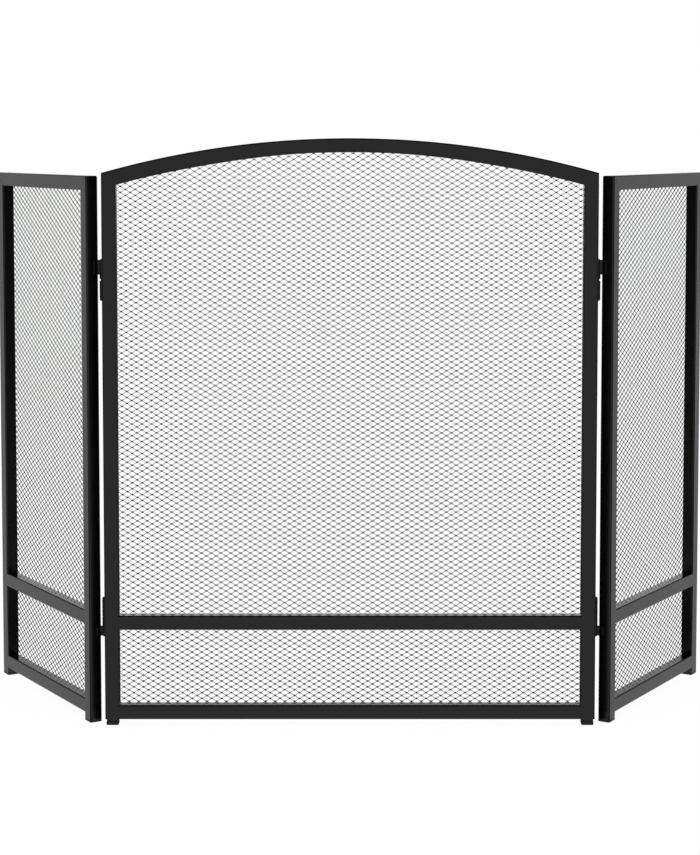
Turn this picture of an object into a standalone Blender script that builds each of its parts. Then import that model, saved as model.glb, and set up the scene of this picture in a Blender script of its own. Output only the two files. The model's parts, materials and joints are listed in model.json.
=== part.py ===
"""Three-panel folding fireplace screen, in metres, +Z up.

The centre panel stands along X and faces -Y. A wing hangs on each of its sides from two
small barrel hinges and is swept back by FOLD_ANGLE. The origin is on the floor, under the
middle of the folded screen's box.

Each panel is drawn flat first, in (x, z) across its face and y behind its front plane.
A wing's coordinates start at its hinge axis, and an empty on that axis turns it.
"""
import math

import bmesh
import bpy

# Driving dimensions
CENTRE_WIDTH = 0.6156
CROWN_HEIGHT = 0.7370
SHOULDER_HEIGHT = 0.6942
WING_LENGTH = 0.2915
WING_HEIGHT = 0.6904
FOLD_ANGLE = math.radians(58.8)

# Steel tube of the frames
TUBE_FACE = 0.0180
TUBE_DEPTH = 0.0160
TUBE_WALL = 0.0010
TUBE_RADIUS = 0.0018
ARCH_CROWN_FACE = 0.0174
ARCH_END_FACE = 0.0192
ARCH_STATIONS = 24
CENTRE_POST_END = 0.0078
CENTRE_RAIL = 0.0078
CENTRE_CROSSBAR = 0.1217
WING_POST_END = 0.0030
WING_RAIL = 0.0100
WING_CROSSBAR = 0.1238

# Expanded metal sheet behind each frame
SHEET_THICKNESS = 0.0008
SHEET_INSET = 0.0040

# Plastic feet: (height, how far the outline is drawn in from the tube's, corner radius)
GLIDE_LEVELS = ((0.0, 0.0019, 0.0014), (0.0008, 0.0013, 0.0014), (0.0050, 0.0013, 0.0014),
                (0.0050, 0.0018, 0.0014), (0.0083, 0.0018, 0.0014), (0.0083, 0.0013, 0.0014),
                (0.0180, 0.0013, 0.0014), (0.0190, 0.0023, 0.0014))
CAP_LEVELS = ((0.0, 0.0008, 0.0014), (0.0008, 0.0, 0.0018), (0.0027, 0.0, 0.0018),
              (0.0027, 0.0013, 0.0014), (0.0130, 0.0013, 0.0014), (0.0140, 0.0023, 0.0014))

# Barrel hinges
PANEL_GAP = 0.0036
HINGE_DEPTH = 0.0200
BARREL_RADIUS = 0.0030
BORE_RADIUS = 0.0017
PIN_RADIUS = 0.0015
PIN_HEAD_RADIUS = 0.0024
PIN_HEAD_HEIGHT = 0.0010
TAB_NEAR = 0.0004
TAB_FAR = 0.0014
TAB_REACH = 0.0095
BARREL_LENGTH = 0.0240
CENTRE_TAB_LENGTH = 0.0183
HINGE_SIDES = 16
# Height where the centre's barrel begins, which way the wing's barrel lies, gap between the two,
# length of the wing's tab
HINGES = {"upper": (0.5354, 1, 0.0022, 0.0183), "lower": (0.1587, -1, 0.0003, 0.0125)}

# Clearance between pieces that touch
GAP = 0.0003

# Derived sizes
HALF_WIDTH = CENTRE_WIDTH / 2
HINGE_X = HALF_WIDTH + PANEL_GAP / 2
WING_START = PANEL_GAP / 2
WING_END = WING_START + WING_LENGTH
ARCH_RISE = CROWN_HEIGHT - SHOULDER_HEIGHT
ARCH_RADIUS = (HALF_WIDTH ** 2 + ARCH_RISE ** 2) / (2 * ARCH_RISE)
ARCH_CENTRE_Z = CROWN_HEIGHT - ARCH_RADIUS
REAR = (HINGE_DEPTH + (WING_END - TUBE_RADIUS) * math.sin(FOLD_ANGLE)
        + (TUBE_DEPTH - TUBE_RADIUS - HINGE_DEPTH) * math.cos(FOLD_ANGLE) + TUBE_RADIUS)
FRONT_Y = -REAR / 2


def clear_scene():
    for obj in list(bpy.data.objects):
        bpy.data.objects.remove(obj, do_unlink=True)


def material(name, colour, roughness, metallic):
    mat = bpy.data.materials.new(name)
    mat.use_nodes = True
    shader = mat.node_tree.nodes["Principled BSDF"]
    shader.inputs["Base Color"].default_value = (*colour, 1.0)
    shader.inputs["Roughness"].default_value = roughness
    shader.inputs["Metallic"].default_value = metallic
    return mat


def empty(name, location, turn=0.0):
    obj = bpy.data.objects.new(name, None)
    obj.location = location
    obj.rotation_euler[2] = turn
    bpy.context.collection.objects.link(obj)
    return obj


def add_object(name, bm, parent, mat):
    """Closes off one piece: outward faces, round faces shaded smooth, one material."""
    bmesh.ops.recalc_face_normals(bm, faces=bm.faces)
    mesh = bpy.data.meshes.new(name)
    bm.to_mesh(mesh)
    bm.free()
    mesh.shade_smooth()
    mesh.set_sharp_from_angle(angle=math.radians(30))
    mesh.materials.append(mat)
    obj = bpy.data.objects.new(name, mesh)
    obj.parent = parent
    bpy.context.collection.objects.link(obj)
    return obj


def rounded_rectangle(width, depth, radius, steps=3):
    """Outline points, counter-clockwise from the right edge, centred on (0, 0)."""
    points = []
    for corner in range(4):
        cx = (width / 2 - radius) * (1, -1, -1, 1)[corner]
        cy = (depth / 2 - radius) * (1, 1, -1, -1)[corner]
        for step in range(steps + 1):
            angle = math.pi / 2 * (corner + step / steps)
            points.append((cx + radius * math.cos(angle), cy + radius * math.sin(angle)))
    return points


def tube_ring(bm, station, inset):
    """One loop of the tube's skin. A station is two points on the face's edges, and the face width."""
    (ax, az), (bx, bz), face = station
    ring = []
    for u, v in rounded_rectangle(face - 2 * inset, TUBE_DEPTH - 2 * inset, TUBE_RADIUS - inset):
        across = 0.5 + u / face
        x = ax + (bx - ax) * across
        z = az + (bz - az) * across
        ring.append(bm.verts.new((x, TUBE_DEPTH / 2 + v, z)))
    return ring


def join_rings(bm, first, second):
    count = len(first)
    for i in range(count):
        j = (i + 1) % count
        bm.faces.new((first[i], first[j], second[j], second[i]))


def tube(name, stations, parent, mat):
    """Hollow steel tube, open at both ends, through the stations along it."""
    bm = bmesh.new()
    outside = [tube_ring(bm, station, 0.0) for station in stations]
    inside = [tube_ring(bm, station, TUBE_WALL) for station in stations]
    for skin in (outside, inside):
        for first, second in zip(skin, skin[1:]):
            join_rings(bm, first, second)
    join_rings(bm, outside[0], inside[0])
    join_rings(bm, outside[-1], inside[-1])
    return add_object(name, bm, parent, mat)


def straight_rail(name, x0, x1, bottom, parent, mat, mitre_end=None):
    """Horizontal tube from x0 to x1. A mitred end runs out to mitre_end along its top edge."""
    top = bottom + TUBE_FACE
    stations = [((x0, bottom), (x0, top), TUBE_FACE), ((x1, bottom), (x1, top), TUBE_FACE)]
    if mitre_end is not None:
        (start, end) = mitre_end
        stations = [((x0, bottom), (start, top), TUBE_FACE), ((x1, bottom), (end, top), TUBE_FACE)]
    return tube(name, stations, parent, mat)


def post(name, outer_x, inner_x, bottom, outer_top, inner_top, parent, mat):
    """Upright tube whose top is cut along the mitre from its outer to its inner edge."""
    stations = [((outer_x, bottom), (inner_x, bottom), TUBE_FACE),
                ((outer_x, outer_top), (inner_x, inner_top), TUBE_FACE)]
    return tube(name, stations, parent, mat)


def arch_face(share):
    """The arch's face, which bending narrows towards the crown. share is 0 there and 1 at an end."""
    ease = min(max((abs(share) - 0.15) / 0.55, 0.0), 1.0)
    ease = ease * ease * (3 - 2 * ease)
    return ARCH_CROWN_FACE + (ARCH_END_FACE - ARCH_CROWN_FACE) * ease


OUTER_END_ANGLE = math.asin(HALF_WIDTH / ARCH_RADIUS)
INNER_END_ANGLE = math.asin((HALF_WIDTH - TUBE_FACE) / (ARCH_RADIUS - ARCH_END_FACE))


def arch_edges(share, trim=0.0):
    """The arch's outer and inner edge points, from share -1 at one end to 1 at the other."""
    outer_angle = share * (OUTER_END_ANGLE - trim / ARCH_RADIUS)
    inner_angle = share * (INNER_END_ANGLE - trim / ARCH_RADIUS)
    inner_radius = ARCH_RADIUS - arch_face(share)
    outer = (ARCH_RADIUS * math.sin(outer_angle), ARCH_CENTRE_Z + ARCH_RADIUS * math.cos(outer_angle))
    inner = (inner_radius * math.sin(inner_angle), ARCH_CENTRE_Z + inner_radius * math.cos(inner_angle))
    return outer, inner


def arch_height(x, drop):
    """Height of the arch's outer curve at x, drawn in by drop."""
    return ARCH_CENTRE_Z + math.sqrt((ARCH_RADIUS - drop) ** 2 - x * x)


def arch_rail(name, parent, mat):
    stations = []
    for i in range(ARCH_STATIONS + 1):
        share = 2 * i / ARCH_STATIONS - 1
        outer, inner = arch_edges(share, trim=GAP * 1.25)
        stations.append((inner, outer, arch_face(share)))
    return tube(name, stations, parent, mat)


def sheet(name, columns, parent, mat):
    """Thin plate behind a frame, through columns of (x, bottom, top)."""
    front = TUBE_DEPTH + GAP
    back = front + SHEET_THICKNESS
    bm = bmesh.new()
    rings = []
    for x, bottom, top in columns:
        corners = ((front, bottom), (back, bottom), (back, top), (front, top))
        rings.append([bm.verts.new((x, y, z)) for y, z in corners])
    for first, second in zip(rings, rings[1:]):
        join_rings(bm, first, second)
    bm.faces.new(rings[0])
    bm.faces.new(rings[-1])
    return add_object(name, bm, parent, mat)


def foot(name, x, levels, parent, mat):
    """Foot and plug in one moulding. The plug stands inside the post."""
    bm = bmesh.new()
    rings = []
    for height, inset, radius in levels:
        outline = rounded_rectangle(TUBE_FACE - 2 * inset, TUBE_DEPTH - 2 * inset, radius)
        rings.append([bm.verts.new((x + u, TUBE_DEPTH / 2 + v, height)) for u, v in outline])
    for first, second in zip(rings, rings[1:]):
        join_rings(bm, first, second)
    bm.faces.new(rings[0])
    bm.faces.new(rings[-1])
    return add_object(name, bm, parent, mat)


def circle(radius, sides=HINGE_SIDES):
    """Points round the hinge axis. The first lies between the two straight to the front and side."""
    step = 2 * math.pi / sides
    return [(radius * math.cos(step * (i + 0.5)), radius * math.sin(step * (i + 0.5))) for i in range(sides)]


def barrel(name, side, z0, z1, tab_z0, tab_z1, parent, mat):
    """Hinge barrel with a welded tab. The tab lies on the post that is on the given side of the axis."""
    bm = bmesh.new()
    outside = []
    inside = []
    for z in (z0, z1):
        outside.append([bm.verts.new((x, y, z)) for x, y in circle(BARREL_RADIUS)])
        inside.append([bm.verts.new((x, y, z)) for x, y in circle(BORE_RADIUS)])
    join_rings(bm, outside[0], outside[1])
    join_rings(bm, inside[0], inside[1])
    join_rings(bm, outside[0], inside[0])
    join_rings(bm, outside[1], inside[1])
    obj = add_object(name, bm, parent, mat)
    tab = bmesh.new()
    near = side * TAB_NEAR
    far = side * TAB_FAR
    root = -math.sqrt(BORE_RADIUS ** 2 - TAB_NEAR ** 2) - 0.0004
    outline = ((near, root), (far, root), (far, -TAB_REACH), (near, -TAB_REACH))
    rings = [[tab.verts.new((x, y, z)) for x, y in outline] for z in (tab_z0, tab_z1)]
    join_rings(tab, rings[0], rings[1])
    tab.faces.new(rings[0])
    tab.faces.new(rings[1])
    tab_object = add_object(name + "_tab", tab, parent, mat)
    tab_object.hide_render = True
    tab_object.display_type = "WIRE"
    union = obj.modifiers.new("tab", "BOOLEAN")
    union.operation = "UNION"
    union.object = tab_object
    return obj


def pin(name, z0, z1, parent, mat):
    """Hinge pin with a low domed head at both ends."""
    bm = bmesh.new()
    head = PIN_HEAD_HEIGHT
    profile = ((z0 - head, 0.4), (z0 - 0.5 * head, 0.8), (z0, 1.0))
    levels = [(z, PIN_HEAD_RADIUS * share) for z, share in profile]
    levels += [(z0, PIN_RADIUS), (z1, PIN_RADIUS)]
    levels += [(z0 + z1 - z, PIN_HEAD_RADIUS * share) for z, share in reversed(profile)]
    rings = [[bm.verts.new((x, y, z)) for x, y in circle(radius)] for z, radius in levels]
    for first, second in zip(rings, rings[1:]):
        join_rings(bm, first, second)
    bm.faces.new(rings[0])
    bm.faces.new(rings[-1])
    return add_object(name, bm, parent, mat)


def hinge(prefix, side, start, up, gap, wing_tab, centre, wing, mat):
    """Two barrels on one pin. The centre's barrel begins at start, and up says where the wing's lies.

    side is -1 for the left wing, so the wing's post is on that side of the axis.
    """
    def span(a, b):
        return sorted((start + up * a, start + up * b))

    length = 2 * BARREL_LENGTH + gap
    barrel(f"{prefix}_centre_barrel", -side, *span(0, BARREL_LENGTH), *span(0, CENTRE_TAB_LENGTH), centre, mat)
    barrel(f"{prefix}_wing_barrel", side, *span(length - BARREL_LENGTH, length),
           *span(length - wing_tab, length), wing, mat)
    low, high = span(0, length)
    pin(f"{prefix}_pin", low - GAP, high + GAP, centre, mat)


def centre_panel(steel, mesh_steel, plastic):
    panel = empty("centre_panel", (0.0, FRONT_Y, 0.0))
    (mitre_x, mitre_top), (inner_x, inner_top) = arch_edges(1.0)
    for word, sign in (("left", -1), ("right", 1)):
        post(f"centre_{word}_post", sign * mitre_x, sign * inner_x, CENTRE_POST_END,
             mitre_top, inner_top, panel, steel)
        foot(f"centre_{word}_foot", sign * (HALF_WIDTH - TUBE_FACE / 2), GLIDE_LEVELS, panel, plastic)
    arch_rail("centre_arch_rail", panel, steel)
    reach = HALF_WIDTH - TUBE_FACE - GAP
    straight_rail("centre_crossbar", -reach, reach, CENTRE_CROSSBAR, panel, steel)
    straight_rail("centre_bottom_rail", -reach, reach, CENTRE_RAIL, panel, steel)
    edge = HALF_WIDTH - SHEET_INSET
    columns = []
    for i in range(ARCH_STATIONS + 1):
        x = edge * (2 * i / ARCH_STATIONS - 1)
        columns.append((x, CENTRE_RAIL + SHEET_INSET, arch_height(x, SHEET_INSET)))
    sheet("centre_mesh", columns, panel, mesh_steel)
    return panel


def wing_panel(word, side, steel, mesh_steel, plastic):
    """A wing, drawn flat from its hinge axis outwards, and turned back by the fold angle."""
    pivot = empty(f"{word}_wing", (side * HINGE_X, FRONT_Y + HINGE_DEPTH, 0.0), side * FOLD_ANGLE)
    panel = empty(f"{word}_wing_face", (0.0, -HINGE_DEPTH, 0.0))
    panel.parent = pivot
    top = WING_HEIGHT
    mitre = TUBE_FACE
    inner, outer = side * WING_START, side * WING_END
    inner_face, outer_face = side * (WING_START + mitre), side * (WING_END - mitre)
    post(f"{word}_wing_inner_post", inner, inner_face, WING_POST_END, top, top - mitre, panel, steel)
    post(f"{word}_wing_outer_post", outer, outer_face, WING_POST_END, top, top - mitre, panel, steel)
    slip = GAP * 1.4
    straight_rail(f"{word}_wing_top_rail", inner_face + side * slip, outer_face - side * slip,
                  top - mitre, panel, steel, mitre_end=(inner + side * slip, outer - side * slip))
    x0, x1 = inner_face + side * GAP, outer_face - side * GAP
    straight_rail(f"{word}_wing_crossbar", x0, x1, WING_CROSSBAR, panel, steel)
    straight_rail(f"{word}_wing_bottom_rail", x0, x1, WING_RAIL, panel, steel)
    columns = []
    for x in (inner + side * SHEET_INSET, outer - side * SHEET_INSET):
        columns.append((x, WING_RAIL + SHEET_INSET, top - SHEET_INSET))
    sheet(f"{word}_wing_mesh", columns, panel, mesh_steel)
    foot(f"{word}_wing_inner_foot", inner + side * TUBE_FACE / 2, CAP_LEVELS, panel, plastic)
    foot(f"{word}_wing_outer_foot", outer - side * TUBE_FACE / 2, CAP_LEVELS, panel, plastic)
    return pivot


def build():
    clear_scene()
    steel = material("powder_coated_steel", (0.016, 0.016, 0.017), 0.42, 0.0)
    mesh_steel = material("coated_mesh", (0.016, 0.016, 0.017), 0.48, 0.0)
    plastic = material("black_plastic", (0.020, 0.020, 0.021), 0.55, 0.0)
    centre = centre_panel(steel, mesh_steel, plastic)
    for word, side in (("left", -1), ("right", 1)):
        wing = wing_panel(word, side, steel, mesh_steel, plastic)
        axis = empty(f"{word}_hinge_axis", (side * HINGE_X, HINGE_DEPTH, 0.0))
        axis.parent = centre
        for level, (start, up, gap, wing_tab) in HINGES.items():
            hinge(f"{word}_{level}_hinge", side, start, up, gap, wing_tab, axis, wing, steel)


build()
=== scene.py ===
"""Looks of the three-panel folding fireplace screen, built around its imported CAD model.

Each panel is drawn flat, in its own coordinates: x across the panel, y behind the plane of its
front face, z up. A Panel stands that drawing in the model's frame and reads its sizes from the
CAD nodes. The tubes, feet, hinges and expanded metal are new meshes that replace those nodes.
"""
import json
import math
import random

import bmesh
import bpy
from mathutils import Matrix, Vector, noise


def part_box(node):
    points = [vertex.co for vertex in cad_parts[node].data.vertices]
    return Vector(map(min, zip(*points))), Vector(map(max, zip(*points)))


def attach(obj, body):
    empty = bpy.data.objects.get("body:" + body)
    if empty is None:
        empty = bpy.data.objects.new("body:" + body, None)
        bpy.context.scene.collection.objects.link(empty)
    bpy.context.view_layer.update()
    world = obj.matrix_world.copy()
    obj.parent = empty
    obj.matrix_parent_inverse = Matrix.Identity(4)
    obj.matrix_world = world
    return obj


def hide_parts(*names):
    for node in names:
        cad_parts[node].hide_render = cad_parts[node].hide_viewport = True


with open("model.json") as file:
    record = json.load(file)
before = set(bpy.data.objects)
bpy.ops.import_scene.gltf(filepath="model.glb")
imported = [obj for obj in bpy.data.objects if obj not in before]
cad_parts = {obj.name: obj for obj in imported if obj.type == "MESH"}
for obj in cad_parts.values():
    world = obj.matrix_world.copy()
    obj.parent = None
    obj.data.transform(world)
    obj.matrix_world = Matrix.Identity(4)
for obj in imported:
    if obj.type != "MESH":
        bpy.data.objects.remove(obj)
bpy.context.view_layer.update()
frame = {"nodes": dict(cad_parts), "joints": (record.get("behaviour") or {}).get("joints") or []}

MM = 0.001
TINY = 1e-6

# Tubes. The arch is narrowest over the first share of its way from the crown to an end, and widens
# over the next share
TUBE_RADIUS = 1.8 * MM
TUBE_WALL = 1.0 * MM
LEAST_RADIUS = 0.3 * MM
ARC_STEPS = 6
FLAT_SUPPORT = 0.2 * MM
ARCH_CROWN_FACE = 17.4 * MM
ARCH_END_FACE = 19.2 * MM
ARCH_NARROW_SHARE = 0.15
ARCH_WIDENING_SHARE = 0.55
ARCH_STATIONS = 72

# A post's open foot end, as (height, depth under the tube's skin): down the inside of the wall,
# round its cut edge and up the outside
SOCKET_DEPTH = 12 * MM
CUT_END = ((SOCKET_DEPTH, TUBE_WALL), (0.15 * MM, TUBE_WALL), (0.0, TUBE_WALL - 0.2 * MM),
           (0.0, 0.35 * MM), (0.12 * MM, 0.12 * MM), (0.4 * MM, 0.0), (0.6 * MM, 0.0))

# A wing's outer top corners: degrees from the post's edge to the mitre, the short step before the
# tubes turn at its inside, and the faint groove where the weld along the mitre is ground flush
CORNER_RADIUS = 1.6 * MM
CORNER_TURNS = (0, 15, 30, 45)
CORNER_STEP = 0.5 * MM
MITRE_DEPTH = 0.10 * MM

# Expanded metal: long and short way of a diamond, bond length, strand height and thickness, and
# how far a strand's upper edge leans back from its lower edge
LONG_WAY = 12.315 * MM
SHORT_WAY = 7.436 * MM
BOND_LENGTH = 2.2 * MM
BOND_SWELL = 0.36 * MM
STRAND = 0.75 * MM
STRAND_LEAN = 0.25 * MM
MESH_THICKNESS = 0.45 * MM
SHEET_GAP = 0.3 * MM
SHEET_INSET = 4.0 * MM
CENTRE_PHASE = (-285.5 * MM, 37.7 * MM)
WING_PHASE = (8.0 * MM, 16.0 * MM)
MERGE_STEPS = 1e7  # per metre

# Tack welds that hold the expanded metal. Each is a ball of radius 1, cut flat at TACK_BASE and then
# stretched
TACK_PITCH = 124 * MM
TACK_RADIUS = 2.3 * MM
TACK_HEIGHT = 1.3 * MM
TACK_INSET = 2.0 * MM
TACK_SINK = 0.35 * MM
TACK_BASE = -0.25
TACK_LUMPS = 0.18
TACK_LUMP_DENSITY = 1.3
TACK_SUBDIVISIONS = 3

# Feet: (height, how far the outline is drawn in from the widest), in mm
GLIDE_PROFILE = ((0.0, 1.2), (0.12, 0.7), (0.4, 0.25), (0.8, 0.0), (4.5, 0.0), (4.85, 0.12),
                 (5.0, 0.35), (5.05, 0.5), (8.3, 0.5), (8.3, 0.1), (19.0, 0.1))
CAP_PROFILE = ((0.0, 1.0), (0.1, 0.55), (0.35, 0.2), (0.8, 0.0), (2.5, 0.0), (2.7, 0.15), (2.7, 1.35),
               (14.0, 1.35))
FOOT_LEAST_RADIUS = 0.6 * MM

# Hinges. A leaf leaves its barrel forward, between two distances from the axis, and covers some of
# the barrel's sides. The front edge of the CAD tab lies further than TAB_FRONT before the axis
BARREL_RADIUS = 3.0 * MM
BARREL_BORE = 1.7 * MM
BARREL_CHAMFER = 0.3 * MM
BARREL_SIDES = 40
LEAF_NEAR = 0.4 * MM
LEAF_FAR = 1.8 * MM
LEAF_SIDES = 3
TAB_FRONT = 5 * MM
PIN_RADIUS = 1.5 * MM
PIN_HEAD_HEIGHT = 1.0 * MM
PIN_HEAD_TURNS = (12, 30, 48, 66, 90)
PIN_SIDES = 32

# Weld beads. At its tips a bead has a part of its radius, given here squared. Lumps are (unevenness
# as a part of the radius, size)
BEAD_STEP = 0.2 * MM
BEAD_SIDES = 24
BEAD_TIP_SQUARED = 0.02
RIPPLE = 0.10
RIPPLE_PITCH = 1.5 * MM
LUMPS = (0.22, 0.9 * MM)
NOISE_SPAN = 50

# The bead along a leaf's front edge: distance beside the axis and before the edge, and length past
# each end of the leaf
LEAF_WELD_RADIUS = 1.15 * MM
LEAF_WELD_ASIDE = 1.6 * MM
LEAF_WELD_AHEAD = 0.2 * MM
LEAF_WELD_PAST = -0.3 * MM

# Two heavy runs that tie a wing's leaf to the rear edge of its post and to the barrel: name,
# distance beside the axis and before it, and length past each end of the leaf
HEAVY_WELDS = (("outer", 1.2 * MM, 4.2 * MM, 0.2 * MM), ("inner", 0.5 * MM, 2.9 * MM, -0.4 * MM))
HEAVY_WELD_RADIUS = 1.6 * MM
HEAVY_LUMPS = (0.45, 1.3 * MM)

# Coatings: colours, and the size and strength of the slow changes in their tone and gloss
BLACK_COAT = (0.0035, 0.0035, 0.0037)
# The heavy welds wear the same black powder coat as the frame. This weld colour is much lighter than
# that coat: a painted sheen that stands in for the highlights their lumpy skin catches
WELD_TONE_WITH_PAINTED_SHEEN = (0.05, 0.05, 0.051)
BLACK_PLASTIC = (0.006, 0.006, 0.0062)
TONE_SIZE = 35 * MM
TONE_SPREAD = 0.14
GLOSS_SIZE = 9 * MM
GLOSS_SPREAD = 0.04
CLOUD_ROUGHNESS = 0.55
CLOUD_RANGE = (0.3, 0.7)

# Brightness of the studio that the coat reflects, as (part of the way, brightness): from straight
# in front of the screen to straight behind it, and from straight below it to straight above it.
# The floor differs only behind the screen, where it ends up dark
GLOW_BY_FACING = ((0.0, 0.57), (0.08, 0.54), (0.18, 0.10), (0.30, 0.05), (0.62, 0.05), (0.73, 0.70),
                  (0.82, 0.72), (0.90, 1.2), (1.0, 1.5))
FLOOR_BY_FACING = GLOW_BY_FACING[:-2] + ((0.965, 0.72), (0.995, 0.05))
GLOW_BY_HEIGHT = ((0.0, 1.0), (0.58, 1.0), (0.68, 0.20), (0.80, 0.06), (1.0, 0.06))

# The floor that the camera sees, and the light that draws its contact shadows
FLOOR_REACH = 30
FLOOR_GLOW = 0.975
FLOOR_SHADE = 0.05
SOFTBOX_PLACE = (0.0, -0.6, 3.2)
SOFTBOX_TARGET = (0, 0, 0.2)
SOFTBOX_SIZE = (3.2, 2.6)
SOFTBOX_POWER = 60

# Camera
CAMERA_DISTANCE = 2.590
CAMERA_HEIGHT = 0.742
CAMERA_TILT = math.radians(4.04)
CAMERA_LENS = 88.25
CAMERA_SHIFT = -0.17


# Panels ---------------------------------------------------------------------------------------

class Panel:
    """One CAD body: where its flat drawing stands, and its nodes in that drawing."""

    def __init__(self, word, body, matrix):
        self.word = word
        self.prefix = word if word == "centre" else f"{word}_wing"
        self.body = body
        self.matrix = matrix
        self.flat = matrix.inverted()

    def points(self, node):
        """Vertices of a CAD node in the panel's coordinates."""
        return [self.flat @ vertex.co for vertex in frame["nodes"][node].data.vertices]

    def extent(self, node):
        """Lowest and highest corner of a CAD node in the panel's coordinates."""
        points = self.points(node)
        low = Vector([min(values) for values in zip(*points)])
        high = Vector([max(values) for values in zip(*points)])
        return low, high


def make_panels():
    """The centre panel, and each wing turned about its hinge axis."""
    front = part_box("centre_left_post")[0].y
    panels = {"centre": Panel("centre", "centre_panel", Matrix.Translation((0, front, 0)))}
    for joint in frame["joints"]:
        word = joint["child"].split("_")[0]
        x, y, _ = joint["pos_m"]
        turn = -joint["axis"][2] * math.radians(joint["range_deg"][0])
        matrix = (Matrix.Translation((x, y, 0)) @ Matrix.Rotation(turn, 4, "Z")
                  @ Matrix.Translation((0, front - y, 0)))
        panels[word] = Panel(word, joint["child"], matrix)
    return panels


def add_piece(name, bm, panel, mat, slot, *nodes, sharp=30):
    """Closes off one piece: in place, outward faces, riding on its body, standing for its nodes.

    sharp is the angle in degrees past which an edge is shaded sharp.
    """
    bmesh.ops.remove_doubles(bm, verts=bm.verts, dist=TINY)
    bmesh.ops.transform(bm, matrix=panel.matrix, verts=bm.verts)
    bmesh.ops.recalc_face_normals(bm, faces=bm.faces)
    mesh = bpy.data.meshes.new(name)
    bm.to_mesh(mesh)
    bm.free()
    mesh.shade_smooth()
    mesh.set_sharp_from_angle(angle=math.radians(sharp))
    mesh.materials.append(mat)
    obj = bpy.data.objects.new(name, mesh)
    bpy.context.scene.collection.objects.link(obj)
    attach(obj, panel.body)
    if nodes:
        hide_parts(*nodes)


# Skins ----------------------------------------------------------------------------------------

def rounded_outline(width, depth, radius):
    """Rounded rectangle round (0, 0). A point just beyond each arc keeps the flats' shading flat."""
    points = []
    for corner in range(4):
        cx = (width / 2 - radius) * (1, -1, -1, 1)[corner]
        cy = (depth / 2 - radius) * (1, 1, -1, -1)[corner]
        start = math.pi / 2 * corner
        sx, sy = math.cos(start), math.sin(start)
        points.append((cx + radius * sx + FLAT_SUPPORT * sy, cy + radius * sy - FLAT_SUPPORT * sx))
        for step in range(ARC_STEPS + 1):
            angle = start + math.pi / 2 * step / ARC_STEPS
            points.append((cx + radius * math.cos(angle), cy + radius * math.sin(angle)))
        points.append((cx - radius * sy - FLAT_SUPPORT * sx, cy + radius * sx - FLAT_SUPPORT * sy))
    return points


def join_rings(bm, first, second):
    """Wall between two loops of equal length."""
    count = len(first)
    for i in range(count):
        j = (i + 1) % count
        bm.faces.new((first[i], first[j], second[j], second[i]))


def skin(bm, rings):
    """Closed skin through loops of equal length, with a flat face at each end."""
    for first, second in zip(rings, rings[1:]):
        join_rings(bm, first, second)
    bm.faces.new(rings[0])
    bm.faces.new(rings[-1])


# Tubes ----------------------------------------------------------------------------------------

def tube_ring(bm, depth, a, b, face, inset):
    """One loop of a tube's skin, whose face runs from edge point a to edge point b, both (x, z)."""
    ring = []
    radius = max(TUBE_RADIUS - inset, LEAST_RADIUS)
    for u, v in rounded_outline(face - 2 * inset, depth - 2 * inset, radius):
        across = 0.5 + u / face
        ring.append(bm.verts.new((a[0] + (b[0] - a[0]) * across, depth / 2 + v,
                                  a[1] + (b[1] - a[1]) * across)))
    return ring


def tube(name, stations, depth, panel, mat, node):
    """Closed skin through stations of (edge point, edge point, face, inset)."""
    bm = bmesh.new()
    skin(bm, [tube_ring(bm, depth, *station) for station in stations])
    add_piece(name, bm, panel, mat, "frame_steel", node)


def bar(node, x_a, x_b, panel, mat):
    """A rail that runs into the posts as far as their rounded edges, so that the faces meet flush."""
    low, high = panel.extent(node)
    face, depth = high.z - low.z, high.y - low.y
    stations = [((x, low.z), (x, high.z), face, 0.0) for x in (x_a, x_b)]
    tube(f"{node}_tube", stations, depth, panel, mat, node)


def cut_end(x_a, x_b, z, face):
    """Stations of a post's open foot end, which stands at height z."""
    return [((x_a, z + rise), (x_b, z + rise), face, inset) for rise, inset in CUT_END]


def arch_face(share):
    """The arch's face, which bending narrows towards the crown. share is 0 there, 1 at an end."""
    ease = min(max((abs(share) - ARCH_NARROW_SHARE) / ARCH_WIDENING_SHARE, 0.0), 1.0)
    ease = ease * ease * (3 - 2 * ease)
    return ARCH_CROWN_FACE + (ARCH_END_FACE - ARCH_CROWN_FACE) * ease


def centre_frame(panel, mat):
    """Posts, arched top tube and rails. Returns the sheet's top edge as a height for each x."""
    low, high = panel.extent("centre_left_post")
    face, depth = high.x - low.x, high.y - low.y
    half = -low.x
    crown = panel.extent("centre_arch_rail")[1].z
    rise = crown - high.z
    radius = (half ** 2 + rise ** 2) / (2 * rise)
    middle = crown - radius
    outer_end = math.asin(half / radius)
    inner_end = math.asin((half - face) / (radius - ARCH_END_FACE))

    def arch_edges(share):
        outer, inner = share * outer_end, share * inner_end
        inner_radius = radius - arch_face(share)
        return ((radius * math.sin(outer), middle + radius * math.cos(outer)),
                (inner_radius * math.sin(inner), middle + inner_radius * math.cos(inner)))

    outer, inner = arch_edges(1.0)
    for word, side in (("left", -1), ("right", 1)):
        stations = cut_end(side * half, side * (half - face), low.z, face)
        stations.append(((side * outer[0], outer[1]), (side * inner[0], inner[1]), face, 0.0))
        tube(f"centre_{word}_post_tube", stations, depth, panel, mat, f"centre_{word}_post")
    stations = []
    for i in range(ARCH_STATIONS + 1):
        share = 2 * i / ARCH_STATIONS - 1
        outer, inner = arch_edges(share)
        stations.append((inner, outer, arch_face(share), 0.0))
    tube("centre_arch_tube", stations, depth, panel, mat, "centre_arch_rail")
    reach = half - face + TUBE_RADIUS
    for word in ("crossbar", "bottom_rail"):
        bar(f"centre_{word}", -reach, reach, panel, mat)
    return lambda x: middle + math.sqrt(radius ** 2 - x ** 2) - SHEET_INSET


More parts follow.
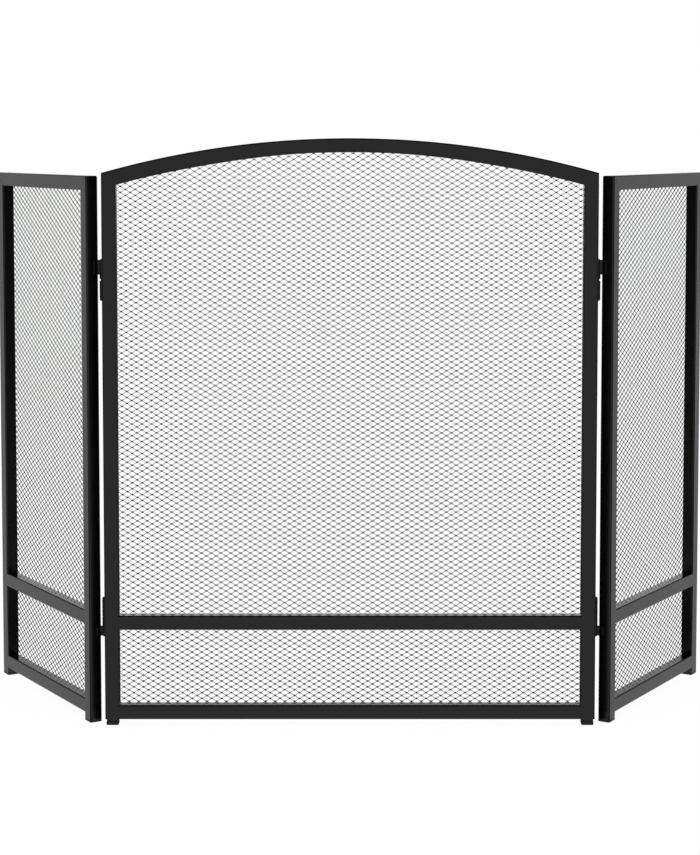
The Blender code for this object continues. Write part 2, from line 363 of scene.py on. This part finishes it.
def rounded_corner(corner, rail_way, turns):
    """Points round a wing's outer corner, from the post's edge (turn 0) to the rail's (turn 90)."""
    cx = corner[0] + rail_way * CORNER_RADIUS
    cz = corner[1] - CORNER_RADIUS
    return [(cx - rail_way * CORNER_RADIUS * math.cos(math.radians(turn)),
             cz + CORNER_RADIUS * math.sin(math.radians(turn))) for turn in turns]


def wing_frame(panel, mat):
    """Posts, mitred top rail and rails. Returns the sheet's top edge as a height for each x."""
    side = -1 if panel.word == "left" else 1
    mitres = {}
    for place, way in (("inner", side), ("outer", -side)):
        node = f"{panel.prefix}_{place}_post"
        low, high = panel.extent(node)
        face, depth, top = high.x - low.x, high.y - low.y, high.z
        edge = low.x if way > 0 else high.x
        inner_edge = edge + way * face
        corner, inside = (edge, top), (inner_edge, top - face)
        first, *rest = rounded_corner(corner, way, CORNER_TURNS)
        stations = cut_end(edge, inner_edge, low.z, face)
        stations.append((first, (inner_edge, inside[1] - CORNER_STEP), face, 0.0))
        stations += [(point, inside, face, 0.0) for point in rest[:-1]]
        stations.append((rest[-1], inside, face, MITRE_DEPTH))
        tube(f"{node}_tube", stations, depth, panel, mat, node)
        mitres[place] = (corner, inside, way)
    rail_turns = [90 - turn for turn in reversed(CORNER_TURNS)]
    stations = []
    for place, turns in (("inner", rail_turns), ("outer", rail_turns[::-1])):
        corner, inside, way = mitres[place]
        for turn, point in zip(turns, rounded_corner(corner, way, turns)):
            shift = CORNER_STEP * way if turn == rail_turns[-1] else 0.0
            inset = MITRE_DEPTH if turn == rail_turns[0] else 0.0
            stations.append(((inside[0] + shift, inside[1]), point, face, inset))
    tube(f"{panel.prefix}_top_rail_tube", stations, depth, panel, mat, f"{panel.prefix}_top_rail")
    x_a, x_b = (inside[0] - way * TUBE_RADIUS for _, inside, way in mitres.values())
    for word in ("crossbar", "bottom_rail"):
        bar(f"{panel.prefix}_{word}", x_a, x_b, panel, mat)
    return lambda x: top - SHEET_INSET


# Expanded metal -------------------------------------------------------------------------------

def lattice(top, phase, panel, mat):
    """Bonds joined by slanted strands, cut off along the sheet's outline.

    Every bond sends a strand up to the right and one up to the left, to the bonds of the next row.
    A corner is (x, z, rise), where rise is its height over the middle line of the bond it belongs
    to, which sets how far it leans back.
    """
    node = f"{panel.prefix}_mesh"
    low, high = panel.extent(node)
    front = low.y - SHEET_GAP + STRAND_LEAN * (1 + BOND_SWELL / STRAND)
    x_phase, z_phase = phase
    half_bond = BOND_LENGTH / 2

    def room(x, z):
        """How far (x, z) is inside the sheet's outline."""
        return min(x - low.x, high.x - x, z - low.z, top(x) - z)

    def trim(start, end):
        """Shares along a run between which it is inside the outline, or None."""
        a, b = room(*start), room(*end)
        if a <= 0 and b <= 0:
            return None
        return (a / (a - b) if a < 0 else 0.0), (a / (a - b) if b < 0 else 1.0)

    bm = bmesh.new()
    made = {}

    def vertex(corner, y):
        """The vertex at a corner, made once."""
        x, z, rise = corner
        y += STRAND_LEAN * rise / STRAND
        key = (round(x * MERGE_STEPS), round(y * MERGE_STEPS), round(z * MERGE_STEPS))
        if key not in made:
            made[key] = bm.verts.new((x, y, z))
        return made[key]

    def plate(outline, edges):
        """Front and back face of an outline, and walls along the edges that start at these corners."""
        for y in (front, front + MESH_THICKNESS):
            verts = [vertex(corner, y) for corner in outline]
            if len(set(verts)) == len(verts):
                bm.faces.new(verts)
        for i in edges:
            a, b = outline[i], outline[(i + 1) % len(outline)]
            verts = [vertex(a, front), vertex(b, front),
                     vertex(b, front + MESH_THICKNESS), vertex(a, front + MESH_THICKNESS)]
            if len(set(verts)) == 4:
                bm.faces.new(verts)

    def climb(x, z, way):
        """Ends of the middle line of the strand that leaves the bond at (x, z) upwards."""
        return ((x + way * half_bond, z + STRAND / 2),
                (x + way * (LONG_WAY / 2 - half_bond), z + (SHORT_WAY - STRAND) / 2))

    def strand(x, z, way):
        """The strand that leaves the bond at (x, z) upwards, on one side."""
        start, end = climb(x, z, way)
        shares = trim(start, end)
        if shares is None:
            return
        lower, upper = [], []
        for share in shares:
            sx = start[0] + (end[0] - start[0]) * share
            sz = start[1] + (end[1] - start[1]) * share
            lower.append((sx, sz - STRAND / 2, -STRAND * share))
            upper.append((sx, sz + STRAND / 2, STRAND * (1 - share)))
        cut_ends = [1] * (shares[1] < 1) + [3] * (shares[0] > 0)
        plate((lower[0], lower[1], upper[1], upper[0]), [0, 2, *cut_ends])

    def bond(x, z):
        """The bond round (x, z), swollen at its middle, with a wall wherever no strand joins it."""
        shares = trim((x - half_bond, z), (x + half_bond, z))
        if shares is None:
            return
        xa, xb = (x - half_bond + BOND_LENGTH * share for share in shares)
        middle, swollen = (xa + xb) / 2, STRAND + BOND_SWELL
        outline = [(xa, z - STRAND, -STRAND), (middle, z - swollen, -swollen), (xb, z - STRAND, -STRAND),
                   (xb, z, 0.0), (xb, z + STRAND, STRAND), (middle, z + swollen, swollen),
                   (xa, z + STRAND, STRAND), (xa, z, 0.0)]
        edges = [0, 1, 4, 5]
        # The half ends: right below and above, left above and below
        for edge, way, up, cut in ((2, 1, -1, shares[1] < 1), (3, 1, 1, shares[1] < 1),
                                   (6, -1, 1, shares[0] > 0), (7, -1, -1, shares[0] > 0)):
            if up > 0:
                joined = trim(*climb(x, z, way))
            else:
                joined = trim(*climb(x + way * LONG_WAY / 2, z - SHORT_WAY / 2, -way))
            if cut or joined is None:
                edges.append(edge)
        plate(outline, edges)

    first_row = math.floor((low.z - z_phase) / (SHORT_WAY / 2)) - 1
    last_row = math.ceil((high.z - z_phase) / (SHORT_WAY / 2)) + 1
    for row in range(first_row, last_row + 1):
        z = z_phase + row * SHORT_WAY / 2
        offset = x_phase + (row % 2) * LONG_WAY / 2
        first = math.floor((low.x - offset) / LONG_WAY) - 1
        last = math.ceil((high.x - offset) / LONG_WAY) + 1
        for column in range(first, last + 1):
            x = offset + column * LONG_WAY
            bond(x, z)
            for way in (-1, 1):
                strand(x, z, way)
    add_piece(f"{panel.prefix}_expanded_metal", bm, panel, mat, "mesh_steel", node, sharp=20)


# Welds ----------------------------------------------------------------------------------------

def noise_origin(seed):
    """A place in the noise field, so that every weld has its own uneven skin."""
    rng = random.Random(seed)
    return Vector([rng.uniform(-NOISE_SPAN, NOISE_SPAN) for _ in range(3)])


def tack(bm, centre, seed):
    """Spot of weld with an uneven skin: the rear part of a flattened ball round centre."""
    origin = noise_origin(seed)
    outward = Vector((0, 1, 0))
    across = outward.orthogonal().normalized()
    other = outward.cross(across)
    ball = bmesh.ops.create_icosphere(bm, subdivisions=TACK_SUBDIVISIONS, radius=1.0)["verts"]
    for vertex in ball:
        x, y, z = vertex.co
        z = max(z, TACK_BASE)
        rough = 1 + TACK_LUMPS * noise.noise(vertex.co * TACK_LUMP_DENSITY + origin)
        vertex.co = (centre + rough * TACK_RADIUS * (across * x + other * y)
                     + rough * TACK_HEIGHT * z * outward)


def tack_welds(panel, top, mat):
    """Spots of weld that hold the sheet's border to the backs of the tubes."""
    low, high = panel.extent(f"{panel.prefix}_mesh")
    back = low.y - SHEET_GAP + MESH_THICKNESS
    height = top(high.x) - low.z
    spots = []
    rows = round(height / TACK_PITCH)
    for i in range(rows + 1):
        z = low.z + TACK_INSET + (height - 2 * TACK_INSET) * i / rows
        spots += [(low.x + TACK_INSET, z), (high.x - TACK_INSET, z)]
    columns = max(round((high.x - low.x) / TACK_PITCH), 1)
    for i in range(1, columns):
        x = low.x + (high.x - low.x) * i / columns
        spots += [(x, low.z + TACK_INSET), (x, top(x) - TACK_INSET)]
    bm = bmesh.new()
    for i, (x, z) in enumerate(spots):
        tack(bm, Vector((x, back - TACK_SINK, z)), seed=f"{panel.word} tack {i}")
    add_piece(f"{panel.word}_tack_welds", bm, panel, mat, "frame_steel", sharp=60)


def bead(name, path, radius, panel, mat, lumps=LUMPS):
    """A weld bead along a path of points: a rippled round section that closes over at both ends."""
    unevenness, lump_size = lumps
    origin = noise_origin(name)
    points = []
    for start, end in zip(path, path[1:]):
        steps = max(2, round((end - start).length / BEAD_STEP))
        points += [start.lerp(end, i / steps) for i in range(steps)]
    points.append(path[-1])
    length = sum((b - a).length for a, b in zip(points, points[1:]))
    bm = bmesh.new()
    rings = []
    done = 0.0
    for i, point in enumerate(points):
        ahead = points[min(i + 1, len(points) - 1)]
        behind = points[max(i - 1, 0)]
        along = (ahead - behind).normalized()
        across = along.orthogonal().normalized()
        other = along.cross(across)
        if i:
            done += (point - behind).length
        end = min(done, length - done) / radius
        swell = math.sqrt(max(1 - (1 - min(end, 1)) ** 2, BEAD_TIP_SQUARED))
        ripple = 1 + RIPPLE * math.sin(done / RIPPLE_PITCH * 2 * math.pi)
        ring = []
        for k in range(BEAD_SIDES):
            angle = 2 * math.pi * k / BEAD_SIDES
            way = across * math.cos(angle) + other * math.sin(angle)
            rough = 1 + unevenness * noise.noise((point + way * radius) / lump_size + origin)
            ring.append(bm.verts.new(point + way * radius * swell * ripple * rough))
        rings.append(ring)
    skin(bm, rings)
    add_piece(name, bm, panel, mat, "frame_steel", sharp=60)


# Feet and hinges ------------------------------------------------------------------------------

def foot(node, profile, panel, mat):
    """Glide or end cap with rounded edges, and its plug up inside the post."""
    low, high = panel.extent(node)
    width, depth = high.x - low.x, high.y - low.y
    middle = (low + high) / 2
    bm = bmesh.new()
    rings = []
    for height, inset in profile:
        outline = rounded_outline(width - 2 * inset * MM, depth - 2 * inset * MM,
                                  max(TUBE_RADIUS - inset * MM, FOOT_LEAST_RADIUS))
        rings.append([bm.verts.new((middle.x + u, middle.y + v, height * MM)) for u, v in outline])
    skin(bm, rings)
    add_piece(f"{node}_moulding", bm, panel, mat, "foot_plastic", node)


def barrel_and_leaf(bm, axis, side, barrel, leaf, front):
    """Barrel round the axis with a bore, and the leaf that leaves it forward.

    barrel and leaf are (lowest z, highest z), side is the post's side of the axis, and front is
    the y of the leaf's front edge. An end of the barrel is chamfered where the leaf stops short.
    """
    start = math.asin(LEAF_NEAR / BARREL_RADIUS)
    end = math.asin(LEAF_FAR / BARREL_RADIUS)
    steps = BARREL_SIDES - LEAF_SIDES
    arc = [start + (end - start) * i / LEAF_SIDES for i in range(LEAF_SIDES + 1)]
    arc += [end + (2 * math.pi - end + start) * i / steps for i in range(1, steps)]

    def ring(z, radius):
        """Loop whose angles count from straight forward (-y), positive towards the post."""
        return [bm.verts.new((axis.x + side * radius * math.sin(angle),
                              axis.y - radius * math.cos(angle), z)) for angle in arc]

    low_end = [(barrel[0], BARREL_RADIUS)]
    if leaf[0] > barrel[0] + MM:
        low_end = [(barrel[0], BARREL_RADIUS - BARREL_CHAMFER),
                   (barrel[0] + BARREL_CHAMFER, BARREL_RADIUS), (leaf[0], BARREL_RADIUS)]
    high_end = [(barrel[1], BARREL_RADIUS)]
    if leaf[1] < barrel[1] - MM:
        high_end = [(leaf[1], BARREL_RADIUS), (barrel[1] - BARREL_CHAMFER, BARREL_RADIUS),
                    (barrel[1], BARREL_RADIUS - BARREL_CHAMFER)]
    levels = low_end + high_end
    outside = [ring(*level) for level in levels]
    inside = [ring(z, BARREL_BORE) for z in barrel]
    for (z_a, _), (z_b, _), first, second in zip(levels, levels[1:], outside, outside[1:]):
        behind_leaf = z_a >= leaf[0] - TINY and z_b <= leaf[1] + TINY
        for i in range(LEAF_SIDES if behind_leaf else 0, BARREL_SIDES):
            j = (i + 1) % BARREL_SIDES
            bm.faces.new((first[i], first[j], second[j], second[i]))
    join_rings(bm, outside[0], inside[0])
    join_rings(bm, outside[-1], inside[1])
    join_rings(bm, inside[0], inside[1])

    def at_height(z):
        """The outside loop nearest to a height."""
        return outside[min(range(len(levels)), key=lambda i: abs(levels[i][0] - z))]

    root_low, root_high = (at_height(z)[:LEAF_SIDES + 1] for z in leaf)
    far_low, near_low, far_high, near_high = (
        bm.verts.new((axis.x + side * aside, front, z)) for z in leaf for aside in (LEAF_FAR, LEAF_NEAR))
    bm.faces.new((root_low[-1], far_low, far_high, root_high[-1]))
    bm.faces.new((far_low, near_low, near_high, far_high))
    bm.faces.new((near_low, root_low[0], root_high[0], near_high))
    bm.faces.new((*root_low, far_low, near_low))
    bm.faces.new((*root_high, far_high, near_high))


def knuckle(name, node, panel, hinge_axis, mat, painted_sheen_weld_shader):
    """Hinge barrel with its leaf and the leaf's welds, where the CAD barrel and its tab are."""
    low, high = panel.extent(node)
    axis = panel.flat @ hinge_axis
    tab = [point for point in panel.points(node) if point.y < axis.y - TAB_FRONT]
    side = 1 if min(point.x for point in tab) > axis.x else -1
    leaf = min(point.z for point in tab), max(point.z for point in tab)
    bm = bmesh.new()
    barrel_and_leaf(bm, axis, side, (low.z, high.z), leaf, low.y)
    add_piece(name, bm, panel, mat, "hinge_steel", node)

    def upright(aside, y, past):
        """Ends of a weld along the leaf."""
        return [Vector((axis.x + side * aside, y, z)) for z in (leaf[0] - past, leaf[1] + past)]

    path = upright(LEAF_WELD_ASIDE, low.y - LEAF_WELD_AHEAD, LEAF_WELD_PAST)
    bead(f"{name}_weld", path, LEAF_WELD_RADIUS, panel, mat)
    if panel.word != "centre":
        # The heavy runs get the lighter weld coat, whose extra lightness is painted sheen
        for run, aside, ahead, past in HEAVY_WELDS:
            bead(f"{name}_{run}_heavy_weld", upright(aside, axis.y - ahead, past), HEAVY_WELD_RADIUS,
                 panel, painted_sheen_weld_shader, HEAVY_LUMPS)


def pin(node, panel, mat):
    """Hinge pin with domed heads, turned round its axis."""
    low, high = panel.extent(node)
    middle = (low + high) / 2
    head = (high.x - low.x) / 2
    dome = [(PIN_HEAD_HEIGHT * (1 - math.cos(turn)), head * math.sin(turn))
            for turn in map(math.radians, PIN_HEAD_TURNS)]
    profile = [(low.z + rise, radius) for rise, radius in dome]
    profile += [(low.z + PIN_HEAD_HEIGHT, PIN_RADIUS), (high.z - PIN_HEAD_HEIGHT, PIN_RADIUS)]
    profile += [(high.z - rise, radius) for rise, radius in reversed(dome)]
    angles = [2 * math.pi * i / PIN_SIDES for i in range(PIN_SIDES)]
    bm = bmesh.new()
    rings = []
    for z, radius in profile:
        rings.append([bm.verts.new((middle.x + radius * math.cos(angle),
                                    middle.y + radius * math.sin(angle), z)) for angle in angles])
    skin(bm, rings)
    add_piece(f"{node}_turned", bm, panel, mat, "hinge_steel", node)


def hinges(panels, mat, painted_sheen_weld_shader):
    """Two hinges at each wing: a knuckle on the centre, one on the wing, and the pin."""
    centre = panels["centre"]
    for joint in frame["joints"]:
        word = joint["child"].split("_")[0]
        axis = Vector((joint["pos_m"][0], joint["pos_m"][1], 0))
        for level in ("upper", "lower"):
            prefix = f"{word}_{level}_hinge"
            for owner, panel in (("centre", centre), ("wing", panels[word])):
                knuckle(f"{prefix}_{owner}_knuckle", f"{prefix}_{owner}_barrel", panel, axis, mat,
                        painted_sheen_weld_shader)
            pin(f"{prefix}_pin", centre, mat)


# Materials ------------------------------------------------------------------------------------

def coating(name, colour, roughness, grain, relief):
    """Powder coat or moulded plastic: fine orange-peel relief, and soft changes in tone and gloss.

    grain is the size of the relief's bumps and relief is its height.
    """
    mat = bpy.data.materials.new(name)
    mat.use_nodes = True
    tree = mat.node_tree
    shader = tree.nodes["Principled BSDF"]
    place = tree.nodes.new("ShaderNodeTexCoord")

    def clouds(size, detail):
        """Noise with patches of a given size."""
        node = tree.nodes.new("ShaderNodeTexNoise")
        node.inputs["Scale"].default_value = 1 / size
        node.inputs["Detail"].default_value = detail
        node.inputs["Roughness"].default_value = CLOUD_ROUGHNESS
        tree.links.new(place.outputs["Object"], node.inputs["Vector"])
        return node.outputs["Fac"]

    tone = tree.nodes.new("ShaderNodeMix")
    tone.data_type = "RGBA"
    tone.inputs["A"].default_value = (*[c * (1 - TONE_SPREAD) for c in colour], 1)
    tone.inputs["B"].default_value = (*[c * (1 + TONE_SPREAD) for c in colour], 1)
    tree.links.new(clouds(TONE_SIZE, detail=5), tone.inputs["Factor"])
    tree.links.new(tone.outputs["Result"], shader.inputs["Base Color"])
    gloss = tree.nodes.new("ShaderNodeMapRange")
    gloss.inputs["From Min"].default_value, gloss.inputs["From Max"].default_value = CLOUD_RANGE
    gloss.inputs["To Min"].default_value = roughness - GLOSS_SPREAD
    gloss.inputs["To Max"].default_value = roughness + GLOSS_SPREAD
    tree.links.new(clouds(GLOSS_SIZE, detail=4), gloss.inputs["Value"])
    tree.links.new(gloss.outputs["Result"], shader.inputs["Roughness"])
    bump = tree.nodes.new("ShaderNodeBump")
    bump.inputs["Strength"].default_value = 1.0
    bump.inputs["Distance"].default_value = relief
    tree.links.new(clouds(grain, detail=2), bump.inputs["Height"])
    tree.links.new(bump.outputs["Normal"], shader.inputs["Normal"])
    return mat


# Studio ---------------------------------------------------------------------------------------

def glow_levels(tree, value, glow):
    """Brightness for a value that runs from -1 to 1."""
    share = tree.nodes.new("ShaderNodeMapRange")
    share.inputs["From Min"].default_value = -1.0
    levels = tree.nodes.new("ShaderNodeValToRGB")
    levels.color_ramp.interpolation = "EASE"
    stops = levels.color_ramp.elements
    for place, _ in glow[1:-1]:
        stops.new(place)
    for stop, (place, level) in zip(stops, glow):
        stop.position = place
        stop.color = (level, level, level, 1)
    tree.links.new(value, share.inputs["Value"])
    tree.links.new(share.outputs["Result"], levels.inputs["Fac"])
    return levels.outputs["Color"]


def combine(tree, operation, first, second):
    """Math node of two sockets or numbers."""
    node = tree.nodes.new("ShaderNodeMath")
    node.operation = operation
    for socket, value in zip(node.inputs, (first, second)):
        if isinstance(value, (int, float)):
            socket.default_value = value
        else:
            tree.links.new(value, socket)
    return node.outputs[0]


def white_floor(front, half_width):
    """Pale floor. The camera sees it nearly as white as the studio, with only faint contact shadows.

    In reflections its brightness goes by its direction from the centre panel's face.
    """
    bm = bmesh.new()
    bmesh.ops.create_grid(bm, x_segments=1, y_segments=1, size=FLOOR_REACH)
    mesh = bpy.data.meshes.new("studio_floor")
    bm.to_mesh(mesh)
    bm.free()
    mat = bpy.data.materials.new("studio_floor")
    mat.use_nodes = True
    tree = mat.node_tree
    tree.nodes.clear()
    place = tree.nodes.new("ShaderNodeTexCoord")
    parts = tree.nodes.new("ShaderNodeSeparateXYZ")
    tree.links.new(place.outputs["Object"], parts.inputs["Vector"])
    aside = combine(tree, "ABSOLUTE", parts.outputs["X"], 0)
    aside = combine(tree, "MAXIMUM", combine(tree, "SUBTRACT", aside, half_width), 0)
    behind = combine(tree, "SUBTRACT", parts.outputs["Y"], front)
    turn = combine(tree, "ARCTAN2", aside, combine(tree, "MULTIPLY", behind, -1))
    facing = combine(tree, "MULTIPLY", combine(tree, "COSINE", turn, 0), -1)
    around = tree.nodes.new("ShaderNodeEmission")
    faint = tree.nodes.new("ShaderNodeBsdfDiffuse")
    faint.inputs["Color"].default_value = (FLOOR_SHADE, FLOOR_SHADE, FLOOR_SHADE, 1)
    glow = tree.nodes.new("ShaderNodeEmission")
    glow.inputs["Strength"].default_value = FLOOR_GLOW
    lit = tree.nodes.new("ShaderNodeAddShader")
    choose = tree.nodes.new("ShaderNodeMixShader")
    seen = tree.nodes.new("ShaderNodeLightPath")
    output = tree.nodes.new("ShaderNodeOutputMaterial")
    tree.links.new(glow_levels(tree, facing, FLOOR_BY_FACING), around.inputs["Strength"])
    tree.links.new(glow.outputs[0], lit.inputs[0])
    tree.links.new(faint.outputs[0], lit.inputs[1])
    tree.links.new(seen.outputs["Is Camera Ray"], choose.inputs[0])
    tree.links.new(around.outputs[0], choose.inputs[1])
    tree.links.new(lit.outputs[0], choose.inputs[2])
    tree.links.new(choose.outputs[0], output.inputs["Surface"])
    mesh.materials.append(mat)
    floor = bpy.data.objects.new("studio_floor", mesh)
    bpy.context.scene.collection.objects.link(floor)


def surroundings():
    """Studio that the camera sees as white.

    Reflections see a soft patch of light in front, dim sides, a bright back and a dim ceiling.
    """
    world = bpy.data.worlds.new("studio")
    world.use_nodes = True
    tree = world.node_tree
    background = tree.nodes["Background"]
    background.inputs["Color"].default_value = (1, 1, 1, 1)
    way = tree.nodes.new("ShaderNodeTexCoord")
    parts = tree.nodes.new("ShaderNodeSeparateXYZ")
    tree.links.new(way.outputs["Generated"], parts.inputs["Vector"])
    around = combine(tree, "MULTIPLY", glow_levels(tree, parts.outputs["Y"], GLOW_BY_FACING),
                     glow_levels(tree, parts.outputs["Z"], GLOW_BY_HEIGHT))
    seen = tree.nodes.new("ShaderNodeLightPath")
    brightness = tree.nodes.new("ShaderNodeMix")
    brightness.inputs["B"].default_value = 1.0
    tree.links.new(seen.outputs["Is Camera Ray"], brightness.inputs["Factor"])
    tree.links.new(around, brightness.inputs["A"])
    tree.links.new(brightness.outputs["Result"], background.inputs["Strength"])
    bpy.context.scene.world = world


def softbox():
    """Large light overhead, which the coat doesn't reflect."""
    light = bpy.data.lights.new("overhead_softbox", "AREA")
    light.shape = "RECTANGLE"
    light.size, light.size_y = SOFTBOX_SIZE
    light.energy = SOFTBOX_POWER
    obj = bpy.data.objects.new("overhead_softbox", light)
    obj.location = SOFTBOX_PLACE
    way = Vector(SOFTBOX_TARGET) - Vector(SOFTBOX_PLACE)
    obj.rotation_euler = way.to_track_quat("-Z", "Y").to_euler()
    obj.visible_glossy = False
    bpy.context.scene.collection.objects.link(obj)


def camera(front):
    """Camera straight in front of the centre panel, tilted slightly down."""
    data = bpy.data.cameras.new("camera")
    data.lens = CAMERA_LENS
    data.shift_y = CAMERA_SHIFT
    obj = bpy.data.objects.new("camera", data)
    obj.location = (0, front - CAMERA_DISTANCE, CAMERA_HEIGHT)
    obj.rotation_euler = (math.pi / 2 - CAMERA_TILT, 0, 0)
    bpy.context.scene.collection.objects.link(obj)
    bpy.context.scene.camera = obj


# Build ----------------------------------------------------------------------------------------

panels = make_panels()
frame_coat = coating("powder_coat", BLACK_COAT, 0.22, 0.8 * MM, 0.012 * MM)
mesh_coat = coating("mesh_powder_coat", BLACK_COAT, 0.40, 0.6 * MM, 0.012 * MM)
hinge_coat = coating("hinge_powder_coat", BLACK_COAT, 0.28, 0.6 * MM, 0.015 * MM)
# Much lighter than the black coat: painted sheen on the heavy welds
painted_sheen_weld_finish = coating("weld_powder_coat", WELD_TONE_WITH_PAINTED_SHEEN, 0.34, 0.5 * MM, 0.03 * MM)
foot_plastic = coating("black_plastic", BLACK_PLASTIC, 0.45, 0.35 * MM, 0.02 * MM)

for panel in panels.values():
    if panel.word == "centre":
        sheet_top = centre_frame(panel, frame_coat)
        places, profile, phase = ("left", "right"), GLIDE_PROFILE, CENTRE_PHASE
    else:
        sheet_top = wing_frame(panel, frame_coat)
        places, profile, phase = ("inner", "outer"), CAP_PROFILE, WING_PHASE
    lattice(sheet_top, phase, panel, mesh_coat)
    tack_welds(panel, sheet_top, frame_coat)
    for place in places:
        foot(f"{panel.prefix}_{place}_foot", profile, panel, foot_plastic)
hinges(panels, hinge_coat, painted_sheen_weld_finish)

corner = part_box("centre_left_post")[0]
white_floor(corner.y, -corner.x)
surroundings()
softbox()
camera(corner.y)
bpy.context.scene.view_settings.view_transform = "Standard"
